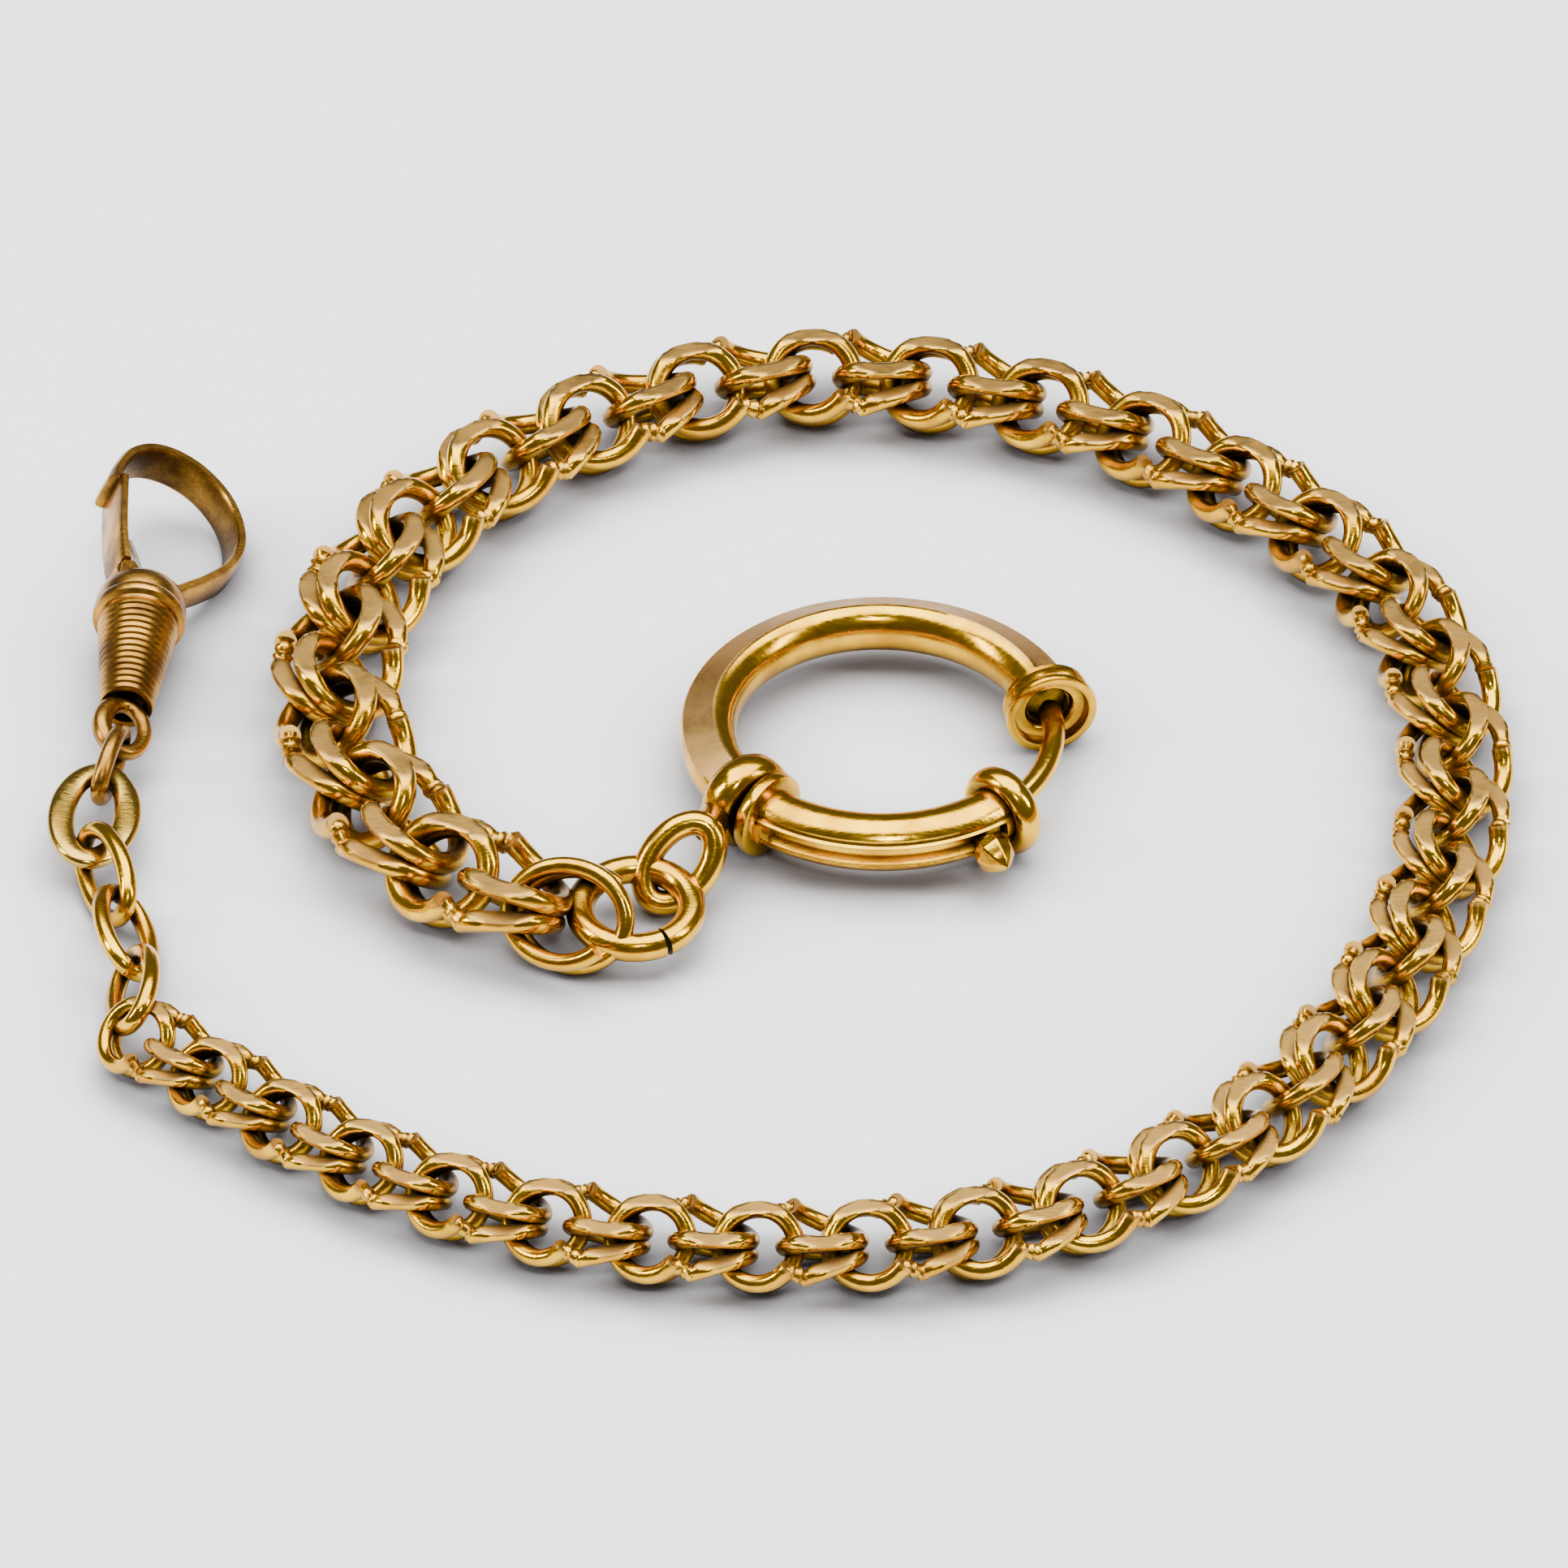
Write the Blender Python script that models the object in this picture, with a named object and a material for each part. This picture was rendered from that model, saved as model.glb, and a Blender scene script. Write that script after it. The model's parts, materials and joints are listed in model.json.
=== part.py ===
"""A gentleman's pocket watch chain: a graduated double-coil link chain laid in an open spiral.

At the big end hangs a large bolt ring on a jump ring, at the small end a sprung swivel hook on five
plain links. Metres, +Z up. The positions below are measured from the centre of the bolt ring. At the
end everything is moved, so that the origin is on the floor under the middle of the whole.
"""
import math

import bmesh
import bpy
from mathutils import Matrix, Vector

MM = 0.001

# The chain: one unit is two coils of two turns, wound through each other and soldered at their ends.
UNIT_COUNT = 35
FIRST_PITCH = 5.07 * MM
LAST_PITCH = 7.35 * MM
COIL_RADIUS = 0.352  # all four are shares of the pitch
COIL_WIRE = 0.055
COIL_SPREAD = 0.235
SOLDERED_SPACING = 0.56
COIL_STEPS = 18
KNOB_ANGLE = 28.0
JOINED_ANGLE = 40.0
PATH = [
    (-37.2, -23.2), (-23.5, -34.2), (-9.0, -38.6), (6.2, -37.5), (19.7, -28.9), (28.3, -13.2),
    (29.7, 3.4), (24.9, 15.3), (12.2, 26.9), (-5.8, 30.9), (-22.0, 21.6), (-28.6, 7.6),
    (-27.3, -3.0), (-23.8, -9.9), (-16.3, -15.0),
]

END_LINK_RADIUS = 2.5 * MM
END_LINK_WIRE = 0.41 * MM
END_LINK_STRETCH = 1.2
END_LINK_AT = (-15.9, -14.8, 2.5)
END_LINK_HEADING = math.radians(-21)

# The bolt ring, by angle around its centre in degrees.
RING_RADIUS = 9.0 * MM
RING_HEIGHT = 2.5 * MM
TUBE_RADIUS = 1.5 * MM
BORE_RADIUS = 1.05 * MM
BOLT_WIRE = 0.58  # radius in millimetres
MOUTH_ANGLE = 14.0
LOWER_TUBE_ANGLES = (-137.0, -46.0)
KNOB_AT = -58.0
SLOT_ANGLES = (-126.0, -55.0)
SLOT_HEIGHT = 0.9 * MM
BOLT_TIP = 13.0
SPRING_ANGLES = (-65.0, -134.5)
EYE_ANGLE = -138.0

# The swivel hook. Its axis runs from the shackle end to the nose end.
HOOK_RIM = Vector((-39.1, 10.7, 2.85)) * MM
HOOK_AXIS = Vector((0.04, 1.0, 0.05)).normalized()
HOOK_ROLL = 20.0
STRIP_WIDTH = 1.9 * MM
STRIP_THICKNESS = 0.6 * MM
GATE_PIVOT = (-1.3, 0.8, 0.0)

# The single links, in millimetres: place, direction and tilt.
JUMP_RING_AT = (-12.93, -13.75, 2.8)
EYE_AT = (-10.9, -11.9, 2.55)
EYE_ACROSS = (1.49, 0.70, 0.0)
EYE_RISE = (0.23, 1.40, 1.69)
OVAL_LINKS = [
    ((-37.75, -20.2, 2.3), (-0.11, 0.97, -0.2), -52),
    ((-38.4, -15.4, 1.9), (-0.18, 0.98, 0.0), 43),
    ((-39.75, -10.85, 1.9), (-0.37, 0.93, 0.06), -62),
]
FLAT_LINK_AT = (-40.6, -6.35, 2.0)
SMALL_LINK_AT = (-40.0, -2.45, 2.2)

GOLD = (0.86, 0.62, 0.24)
WORN_GOLD = (0.62, 0.43, 0.19)
SPRING_STEEL = (0.55, 0.53, 0.50)


def clear_scene():
    for old in list(bpy.data.objects):
        bpy.data.objects.remove(old)


def new_collection(name, helper=False):
    made = bpy.data.collections.new(name)
    bpy.context.scene.collection.children.link(made)
    made.hide_render = helper
    return made


def principled(name, colour, roughness):
    material = bpy.data.materials.new(name)
    material.use_nodes = True
    shader = material.node_tree.nodes["Principled BSDF"]
    shader.inputs["Base Color"].default_value = (*colour, 1.0)
    shader.inputs["Metallic"].default_value = 1.0
    shader.inputs["Roughness"].default_value = roughness
    return material


clear_scene()
PARTS = new_collection("pocket_watch_chain")
CUTTERS = new_collection("cutters", helper=True)


def place(name, mesh, colour=GOLD, origin=(0.0, 0.0, 0.0), roughness=0.3):
    """A part from a mesh in world coordinates, with its origin moved to the point it turns about."""
    mesh.name = name
    origin = Vector(origin)
    mesh.transform(Matrix.Translation(-origin))
    mesh.shade_smooth()
    mesh.set_sharp_from_angle(angle=math.radians(35))
    part = bpy.data.objects.new(name, mesh)
    part.location = origin
    part.data.materials.append(principled(name, colour, roughness))
    PARTS.objects.link(part)
    return part


def cutter(name, mesh):
    made = bpy.data.objects.new(name, mesh)
    made.display_type = "WIRE"
    made.hide_render = True
    CUTTERS.objects.link(made)
    return made


def boolean(part, other, operation):
    step = part.modifiers.new(operation.lower(), "BOOLEAN")
    step.operation = operation
    step.solver = "EXACT"
    step.object = other


def wire(points, radius, closed=False, sides=6):
    """A round wire along the points, as one closed mesh. It has four, six or eight sides."""
    curve = bpy.data.curves.new("wire", "CURVE")
    curve.dimensions = "3D"
    curve.bevel_depth = radius
    curve.bevel_resolution = (sides - 4) // 2
    curve.use_fill_caps = True
    spline = curve.splines.new("POLY")
    spline.points.add(len(points) - 1)
    for place_on, point in zip(spline.points, points):
        place_on.co = (*point, 1.0)
    spline.use_cyclic_u = closed
    holder = bpy.data.objects.new("wire", curve)
    CUTTERS.objects.link(holder)
    bpy.context.view_layer.update()
    mesh = bpy.data.meshes.new_from_object(holder.evaluated_get(bpy.context.evaluated_depsgraph_get()))
    bpy.data.objects.remove(holder)
    bpy.data.curves.remove(curve)
    return welded(mesh)


def welded(mesh):
    shape = bmesh.new()
    shape.from_mesh(mesh)
    bmesh.ops.remove_doubles(shape, verts=shape.verts, dist=1e-6)
    bmesh.ops.recalc_face_normals(shape, faces=shape.faces)
    shape.to_mesh(mesh)
    shape.free()
    return mesh


def turned(profile, matrix, steps=16):
    """A solid turned about the matrix's Z axis. The profile is a closed loop of (radius, height)."""
    shape = bmesh.new()
    corners = [shape.verts.new((radius, 0.0, height)) for radius, height in profile]
    count = len(corners)
    edges = [shape.edges.new((corners[i], corners[(i + 1) % count])) for i in range(count)]
    bmesh.ops.spin(
        shape, geom=corners + edges, cent=(0, 0, 0), axis=(0, 0, 1), angle=2 * math.pi, steps=steps
    )
    bmesh.ops.remove_doubles(shape, verts=shape.verts, dist=2e-6)
    bmesh.ops.dissolve_degenerate(shape, edges=shape.edges, dist=1e-7)
    bmesh.ops.recalc_face_normals(shape, faces=shape.faces)
    mesh = bpy.data.meshes.new("turned")
    shape.to_mesh(mesh)
    shape.free()
    mesh.transform(matrix)
    return mesh


def bridged(name, rings, closed=False):
    """A mesh between each ring of corners and the next, closed by flat ends or back onto its first ring."""
    shape = bmesh.new()
    rings = [[shape.verts.new(corner) for corner in ring] for ring in rings]
    following = rings[1:] + rings[:1] if closed else rings[1:]
    for first, second in zip(rings, following):
        for i in range(len(first)):
            j = (i + 1) % len(first)
            shape.faces.new((first[i], first[j], second[j], second[i]))
    if not closed:
        shape.faces.new(rings[0][::-1])
        shape.faces.new(rings[-1])
    bmesh.ops.recalc_face_normals(shape, faces=shape.faces)
    mesh = bpy.data.meshes.new(name)
    shape.to_mesh(mesh)
    shape.free()
    return mesh


def strip(points, thickness, width, matrix):
    """A flat strip along points in the matrix's XY plane, its width along the matrix's Z axis."""
    points = [Vector((x, y, 0.0)) for x, y in points]
    rings = []
    for i, point in enumerate(points):
        along = points[min(i + 1, len(points) - 1)] - points[max(i - 1, 0)]
        across = Vector((along.y, -along.x, 0.0)).normalized() * thickness / 2
        up = Vector((0.0, 0.0, width / 2))
        rings.append([point + across - up, point + across + up, point - across + up, point - across - up])
    mesh = bridged("strip", rings)
    mesh.transform(matrix)
    return mesh


def box(size, matrix):
    shape = bmesh.new()
    bmesh.ops.create_cube(shape, size=1.0)
    mesh = bpy.data.meshes.new("box")
    shape.to_mesh(mesh)
    shape.free()
    mesh.transform(matrix @ Matrix.Diagonal((*size, 1.0)))
    return mesh


def frame_of(x_axis, y_axis, z_axis, at):
    made = Matrix((x_axis, y_axis, z_axis)).transposed().to_4x4()
    made.translation = at
    return made


# ---- the chain ----


def smooth_path(corners, per_span=40):
    """Points along a smooth curve through the corners."""
    first = corners[0] * 2 - corners[1]
    last = corners[-1] * 2 - corners[-2]
    ends = [first, *corners, last]
    points = []
    for a, b, c, d in zip(ends, ends[1:], ends[2:], ends[3:]):
        for i in range(per_span):
            t = i / per_span
            bend = (a * 2 - b * 5 + c * 4 - d) * t * t + (b * 3 - a - c * 3 + d) * t ** 3
            points.append((b * 2 + (c - a) * t + bend) / 2)
    points.append(corners[-1])
    return points


def smoothed(points, passes=250):
    for _ in range(passes):
        middle = [(a + b * 2 + c) / 4 for a, b, c in zip(points, points[1:], points[2:])]
        points = [points[0], *middle, points[-1]]
    return points


def point_at(points, distance):
    for a, b in zip(points, points[1:]):
        step = (b - a).length
        if distance <= step:
            return a.lerp(b, distance / step), (b - a).normalized()
        distance -= step
    return points[-1], (points[-1] - points[-2]).normalized()


def coil(radius, spread, first, last, side):
    """Points on a coil about a line 45 degrees up, in the unit's frame: forward, outward, up.

    side 1 is the coil behind and -1 the coil ahead, which is the same coil turned half round.
    Angles are counted from the end where the ends of the wire lie.
    """
    points = []
    steps = COIL_STEPS
    for i in range(steps + 1):
        degrees = first + (last - first) * i / steps
        angle = math.radians(degrees)
        offset = spread * degrees / 360
        rise = radius * math.sin(angle)
        forward = radius * math.cos(angle)
        outward = (offset - rise) / math.sqrt(2)
        up = (offset + rise) / math.sqrt(2)
        points.append(Vector((side * forward, side * outward, up)))
    return points


def unit_frame(at, forward):
    forward = Vector((forward.x, forward.y, 0.0)).normalized()
    outward = Vector((forward.y, -forward.x, 0.0))
    return frame_of(forward, outward, Vector((0, 0, 1)), at)


def pitch_of(index):
    return FIRST_PITCH + (LAST_PITCH - FIRST_PITCH) * index / (UNIT_COUNT - 1)


def chain_unit(index, at, forward, pitch):
    radius = COIL_RADIUS * pitch
    spread = COIL_SPREAD * pitch
    wire_radius = COIL_WIRE * pitch
    half = SOLDERED_SPACING * pitch / 2
    height = radius * 0.86 + wire_radius
    matrix = unit_frame(Vector((at.x, at.y, height)), forward)
    meshes = []
    for side in (1, -1):
        points = coil(radius, spread, 360 - KNOB_ANGLE, JOINED_ANGLE - 360, side)
        points = [matrix @ (point + Vector((-side * half, 0.0, 0.0))) for point in points]
        meshes.append(wire(points, wire_radius, sides=4))
    joint = matrix @ Vector((half + (1 - SOLDERED_SPACING) * pitch / 2, 0.0, 0.0))
    name = f"chain_unit_{index + 1:02d}"
    part = place(name, meshes[0], origin=joint)
    boolean(part, cutter(name + "_second_coil", meshes[1]), "UNION")


def chain():
    corners = [Vector((x, y, 0.0)) * MM for x, y in PATH]
    path = smoothed(smooth_path(corners))
    length = sum((b - a).length for a, b in zip(path, path[1:]))
    stretch = length / sum(pitch_of(i) for i in range(UNIT_COUNT))
    distance = 0.0
    for index in range(UNIT_COUNT):
        pitch = pitch_of(index)
        at, forward = point_at(path, distance + SOLDERED_SPACING * pitch / 2)
        chain_unit(index, at, forward, pitch)
        distance += pitch * stretch


def end_link():
    """The last double coil, longer than the others and with no partner ahead of it."""
    forward = Vector((math.cos(END_LINK_HEADING), math.sin(END_LINK_HEADING), 0.0))
    matrix = unit_frame(Vector(END_LINK_AT) * MM, forward)
    points = coil(END_LINK_RADIUS, COIL_SPREAD * LAST_PITCH, 330, -330, 1)
    points = [matrix @ Vector((point.x * END_LINK_STRETCH, point.y, point.z)) for point in points]
    joint = matrix @ Vector((END_LINK_RADIUS * END_LINK_STRETCH, 0.0, 0.0))
    place("end_link", wire(points, END_LINK_WIRE, sides=4), origin=joint)


# ---- plain links ----


def oval(half_length, half_width, steps):
    turns = [2 * math.pi * i / steps for i in range(steps)]
    return [(half_length * math.cos(turn), half_width * math.sin(turn)) for turn in turns]


def link_frame(at, along, tilt):
    """A frame whose X runs along the link and whose Y lies across it. tilt 0 lies flat."""
    along = Vector(along).normalized()
    side = Vector((along.y, -along.x, 0.0)).normalized()
    turn = math.radians(tilt)
    across = side * math.cos(turn) + side.cross(along) * math.sin(turn)
    return frame_of(along, across, along.cross(across), Vector(at) * MM)


def plain_link(name, at, along, tilt, half_length, half_width, wire_radius, colour=GOLD, end=-1):
    """An oval wire link, in millimetres to the middle of the wire. It turns about one end."""
    matrix = link_frame(at, along, tilt)
    flat = [Vector((x, y, 0.0)) * MM for x, y in oval(half_length, half_width, 16)]
    mesh = wire([matrix @ point for point in flat], wire_radius * MM, closed=True)
    place(name, mesh, colour, origin=matrix @ Vector((end * half_length * MM, 0.0, 0.0)))


def flat_ring(name, at, along, tilt, outer, inner, thickness, colour):
    """A flat oval plate with an oval hole. outer and inner are its half length and half width."""
    matrix = link_frame(at, along, tilt)
    rings = []
    for sizes, height in ((outer, -0.5), (outer, 0.5), (inner, 0.5), (inner, -0.5)):
        rings.append([Vector((x, y, height * thickness)) * MM for x, y in oval(*sizes, 24)])
    mesh = bridged(name, rings, closed=True)
    mesh.transform(matrix)
    joint = Vector((-(outer[0] + inner[0]) / 2, 0.0, 0.0)) * MM
    place(name, mesh, colour, origin=matrix @ joint)


# ---- the bolt ring ----


def ring_point(degrees, radius=RING_RADIUS):
    angle = math.radians(degrees)
    return Vector((radius * math.cos(angle), radius * math.sin(angle), RING_HEIGHT))


def ring_frame(degrees):
    """At this angle of the ring: X away from its centre, Y down, Z along the tube."""
    angle = math.radians(degrees)
    away = Vector((math.cos(angle), math.sin(angle), 0.0))
    along = Vector((-math.sin(angle), math.cos(angle), 0.0))
    return frame_of(away, along.cross(away), along, ring_point(degrees))


def bar(stations, sides=8):
    """A round bar through (frame, radius) stations, closed by flat ends."""
    turns = [2 * math.pi * i / sides for i in range(sides)]
    rings = []
    for matrix, radius in stations:
        rings.append([matrix @ Vector((radius * math.cos(a), radius * math.sin(a), 0.0)) for a in turns])
    return bridged("bar", rings)


def straight_bar(stations, matrix, sides=8):
    """A round bar along the matrix's Z, through (height, radius) stations in millimetres."""
    frames = []
    for height, radius in stations:
        frames.append((matrix @ Matrix.Translation((0, 0, height * MM)), radius * MM))
    return bar(frames, sides)


def ring_arc(first, last, radius, steps, sides=8):
    angles = [first + (last - first) * i / steps for i in range(steps + 1)]
    return bar([(ring_frame(angle), radius) for angle in angles], sides)


def tube(name, first, last, steps):
    part = place(name, ring_arc(first, last, TUBE_RADIUS, steps))
    bore = ring_arc(first - 4, last + 4, BORE_RADIUS, steps)
    boolean(part, cutter(name + "_bore", bore), "DIFFERENCE")
    return part


def collar(name, degrees, profile):
    matrix = ring_frame(degrees)
    place(name, turned([(r * MM, h * MM) for r, h in profile], matrix, steps=12))


def bolt_ring():
    """The two tubes, the four collars and the stop inside them, all soldered together."""
    tube("ring_upper_tube", MOUTH_ANGLE + 1.5, 360 + EYE_ANGLE - 1.5, 16)
    lower = tube("ring_lower_tube", LOWER_TUBE_ANGLES[0], LOWER_TUBE_ANGLES[1] - 1, 10)
    rings = []
    for i in range(9):
        angle = SLOT_ANGLES[0] + (SLOT_ANGLES[1] - SLOT_ANGLES[0]) * i / 8
        inner = ring_point(angle, RING_RADIUS + 0.6 * MM)
        outer = ring_point(angle, RING_RADIUS + 2.5 * MM)
        up = Vector((0, 0, SLOT_HEIGHT / 2))
        rings.append([inner - up, outer - up, outer + up, inner + up])
    slot = bridged("slot", rings)
    boolean(lower, cutter("slot", slot), "DIFFERENCE")
    collar("mouth_collar", MOUTH_ANGLE, [
        (0.85, -0.6), (2.2, -0.6), (2.35, -0.4), (2.3, -0.2), (1.95, 0.0), (1.95, 0.15),
        (2.2, 0.3), (2.1, 0.6), (1.62, 0.6), (1.62, 0.1), (0.85, 0.1),
    ])
    collar("knob_end_collar", LOWER_TUBE_ANGLES[1], [
        (0.85, -0.05), (1.62, -0.05), (1.62, -0.65), (2.05, -0.6), (2.3, -0.3), (2.35, 0.0),
        (2.25, 0.35), (1.9, 0.6), (0.85, 0.6),
    ])
    collar("left_collar_large", EYE_ANGLE - 2, [
        (1.62, -0.8), (2.1, -0.75), (2.4, -0.4), (2.5, 0.0), (2.4, 0.4), (2.05, 0.65), (1.62, 0.65),
    ])
    collar("left_collar_small", EYE_ANGLE + 8, [
        (1.62, -0.3), (2.0, -0.3), (2.15, 0.0), (2.0, 0.3), (1.62, 0.3),
    ])
    stop_angles = (EYE_ANGLE - 3, EYE_ANGLE + 2)
    place("spring_stop", ring_arc(*stop_angles, BORE_RADIUS - 0.1 * MM, 2), WORN_GOLD)


def bolt_and_knob():
    stations = [(BOLT_TIP - 1, 0.45), (BOLT_TIP - 2.5, BOLT_WIRE)]
    stations += [(BOLT_TIP - 2.5 - 8.5 * i, BOLT_WIRE) for i in range(1, 7)]
    stations += [(-49.0, BOLT_WIRE), (-49.5, 0.95), (-57.0, 0.95), (-64.0, 0.95)]
    frames = [(ring_frame(angle), radius * MM) for angle, radius in stations]
    centre = Vector((0, 0, RING_HEIGHT))
    place("bolt", bar(frames), origin=centre)
    outward = ring_frame(KNOB_AT).to_3x3().col[0]
    along = ring_frame(KNOB_AT).to_3x3().col[2]
    matrix = frame_of(along, outward.cross(along), outward, ring_point(KNOB_AT, 0.0))
    knob = straight_bar([
        (10.05, 0.3), (10.62, 0.3), (10.7, 0.75), (11.1, 1.05), (11.5, 1.05), (12.0, 0.75), (12.4, 0.3),
    ], matrix)
    place("thumb_knob", knob, origin=centre)


def bolt_spring():
    turns = 11
    points = []
    for i in range(6 * turns + 1):
        angle = SPRING_ANGLES[0] + (SPRING_ANGLES[1] - SPRING_ANGLES[0]) * i / (6 * turns)
        turn = 2 * math.pi * i / 6
        offset = Vector((math.cos(turn), math.sin(turn), 0.0)) * 0.8 * MM
        points.append(ring_frame(angle) @ offset)
    place("bolt_spring", wire(points, 0.1 * MM, sides=4), SPRING_STEEL, origin=(0, 0, RING_HEIGHT))


# ---- the hook ----


def swivel_hook():
    """The barrel, the hook with its sprung gate, and the shackle that turns in the barrel's end."""
    side = Vector((HOOK_AXIS.y, -HOOK_AXIS.x, 0.0)).normalized()
    up = side.cross(HOOK_AXIS)
    roll = math.radians(HOOK_ROLL)
    across = side * math.cos(roll) - up * math.sin(roll)
    level = across.cross(HOOK_AXIS)
    flat = frame_of(across, HOOK_AXIS, level, HOOK_RIM)
    axle = frame_of(across, -level, HOOK_AXIS, HOOK_RIM)

    barrel = [
        (1.15, -8.8), (1.55, -8.8), (2.5, -2.0), (2.6, -1.7), (2.85, -1.2), (2.8, -0.5), (2.45, 0.0),
        (1.95, 0.0), (1.95, -3.0), (1.3, -7.1), (0.48, -7.1), (0.48, -7.7), (1.15, -7.7),
    ]
    mesh = turned([(r * MM, h * MM) for r, h in barrel], axle, steps=20)
    place("barrel", mesh, WORN_GOLD, origin=HOOK_RIM)

    curve = [
        (1.1, -1.4), (1.25, 0.1), (2.2, 1.2), (3.6, 3.2), (4.7, 5.0), (5.1, 6.9), (4.8, 8.9), (3.8, 10.8),
        (2.3, 12.4), (0.6, 13.3), (-1.0, 13.1), (-2.2, 11.9), (-2.9, 10.2), (-3.15, 8.4),
    ]
    centreline = [(x * MM, y * MM) for x, y in curve]
    hook = place("hook", strip(centreline, STRIP_THICKNESS, STRIP_WIDTH, flat), WORN_GOLD, HOOK_RIM)
    plug = straight_bar([(-1.6, 1.88), (-0.1, 1.88)], axle, 16)
    boolean(hook, cutter("hook_plug", plug), "UNION")
    pin_frame = flat @ Matrix.Translation(Vector(GATE_PIVOT) * MM)
    for sign in (1, -1):
        ear = flat @ Matrix.Translation(Vector((GATE_PIVOT[0] + 0.07, 0.35, sign * 0.85)) * MM)
        boolean(hook, cutter(f"hook_ear_{sign}", box(Vector((0.95, 1.83, 0.3)) * MM, ear)), "UNION")
    boolean(hook, cutter("pin_hole", straight_bar([(-2, 0.3), (2, 0.3)], pin_frame)), "DIFFERENCE")
    pin = straight_bar([(-1.15, 0.27), (1.15, 0.27)], pin_frame)
    place("gate_pin", pin, WORN_GOLD, pin_frame.translation)

    lever = [(x * MM, y * MM) for x, y in ((-1.45, 1.1), (-1.75, 2.6), (-2.3, 8.6))]
    gate_mesh = strip(lever, 0.5 * MM, 1.3 * MM, flat)
    gate = place("gate", gate_mesh, WORN_GOLD, pin_frame.translation)
    knuckle = [(r * MM, h * MM) for r, h in ((0.32, -0.6), (0.58, -0.6), (0.58, 0.6), (0.32, 0.6))]
    boolean(gate, cutter("gate_knuckle", turned(knuckle, pin_frame, 10)), "UNION")
    leaf = [(x * MM, y * MM) for x, y in ((-0.2, 0.15), (-0.3, 1.2), (-0.65, 2.4), (-1.2, 3.6))]
    place("gate_spring", strip(leaf, 0.15 * MM, 0.9 * MM, flat), SPRING_STEEL, pin_frame.translation)

    loop_at = Matrix.Translation(Vector((0.0, -10.4, 0.0)) * MM)
    points = [flat @ loop_at @ Vector((y * MM, x * MM, 0.0)) for x, y in oval(1.75, 1.15, 14)]
    joint = flat @ loop_at @ Vector((0.0, -1.75 * MM, 0.0))
    eye = place("swivel_eye", wire(points, 0.4 * MM, closed=True), WORN_GOLD, joint)
    stem = straight_bar([(-8.7, 0.38), (-6.3, 0.38)], axle)
    boolean(eye, cutter("swivel_stem", stem), "UNION")
    washer = [(r * MM, h * MM) for r, h in ((0.42, -7.0), (0.85, -7.0), (0.85, -6.6), (0.42, -6.4))]
    place("swivel_rivet", turned(washer, axle, 10), WORN_GOLD, HOOK_RIM)


def plain_links():
    for i, (at, along, tilt) in enumerate(OVAL_LINKS):
        plain_link(f"oval_link_{i + 1}", at, along, tilt, 3.0, 1.6, 0.4)
    flat_ring("flat_link", FLAT_LINK_AT, (0.08, 1.0, 0.05), 8, (3.8, 2.35), (2.62, 1.0), 0.7, GOLD)
    plain_link("small_oval_link", SMALL_LINK_AT, (0.22, 0.97, 0.03), 97, 2.15, 1.35, 0.4, WORN_GOLD)
    plain_link("jump_ring", JUMP_RING_AT, (0.86, 0.49, 0.16), 45, 2.85, 2.85, 0.72, end=1)


def attachment_eye():
    centre = Vector(EYE_AT) * MM
    across = Vector(EYE_ACROSS) * MM
    rise = Vector(EYE_RISE) * MM
    turns = [2 * math.pi * i / 16 for i in range(16)]
    points = [centre + across * math.cos(turn) + rise * math.sin(turn) for turn in turns]
    eye = place("attachment_eye", wire(points, 0.55 * MM, closed=True), origin=centre)
    root = ring_point(EYE_ANGLE - 2, RING_RADIUS + 2.7 * MM)
    joint = centre + (across + rise) * 0.7
    neck = wire([root, joint], 0.5 * MM, sides=8)
    boolean(eye, cutter("eye_neck", neck), "UNION")


def centre_on_floor():
    """Moves everything so that the origin is on the floor under the middle of the whole."""
    graph = bpy.context.evaluated_depsgraph_get()
    corners = []
    for part in PARTS.objects:
        corners += [part.matrix_world @ vertex.co for vertex in part.evaluated_get(graph).data.vertices]
    low = [min(corner[axis] for corner in corners) for axis in range(3)]
    high = [max(corner[axis] for corner in corners) for axis in range(3)]
    middle = Vector(((low[0] + high[0]) / 2, (low[1] + high[1]) / 2, low[2]))
    for part in (*PARTS.objects, *CUTTERS.objects):
        part.location -= middle


chain()
end_link()
bolt_ring()
bolt_and_knob()
bolt_spring()
attachment_eye()
plain_links()
swivel_hook()
centre_on_floor()
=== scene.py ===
"""A gold pocket watch chain in an open spiral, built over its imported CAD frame. Millimetres unless said."""

import json
import math

import bpy
import numpy as np
from mathutils import Matrix, Vector


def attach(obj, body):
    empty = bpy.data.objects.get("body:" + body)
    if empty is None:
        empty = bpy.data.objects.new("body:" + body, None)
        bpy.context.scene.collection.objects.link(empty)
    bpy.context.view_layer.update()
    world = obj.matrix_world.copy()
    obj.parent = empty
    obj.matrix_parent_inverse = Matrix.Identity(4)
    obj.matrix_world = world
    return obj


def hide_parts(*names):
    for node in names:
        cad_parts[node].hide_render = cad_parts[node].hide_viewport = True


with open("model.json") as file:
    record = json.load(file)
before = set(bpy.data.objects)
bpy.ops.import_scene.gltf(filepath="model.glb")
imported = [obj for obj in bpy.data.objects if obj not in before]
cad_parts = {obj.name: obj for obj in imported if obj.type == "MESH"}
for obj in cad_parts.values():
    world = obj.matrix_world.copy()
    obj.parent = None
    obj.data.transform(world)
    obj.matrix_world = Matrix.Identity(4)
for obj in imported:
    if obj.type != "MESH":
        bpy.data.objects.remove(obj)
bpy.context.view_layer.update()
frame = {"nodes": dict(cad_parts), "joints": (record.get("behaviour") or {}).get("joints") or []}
MM = 0.001
UP = Vector((0, 0, 1))
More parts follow.
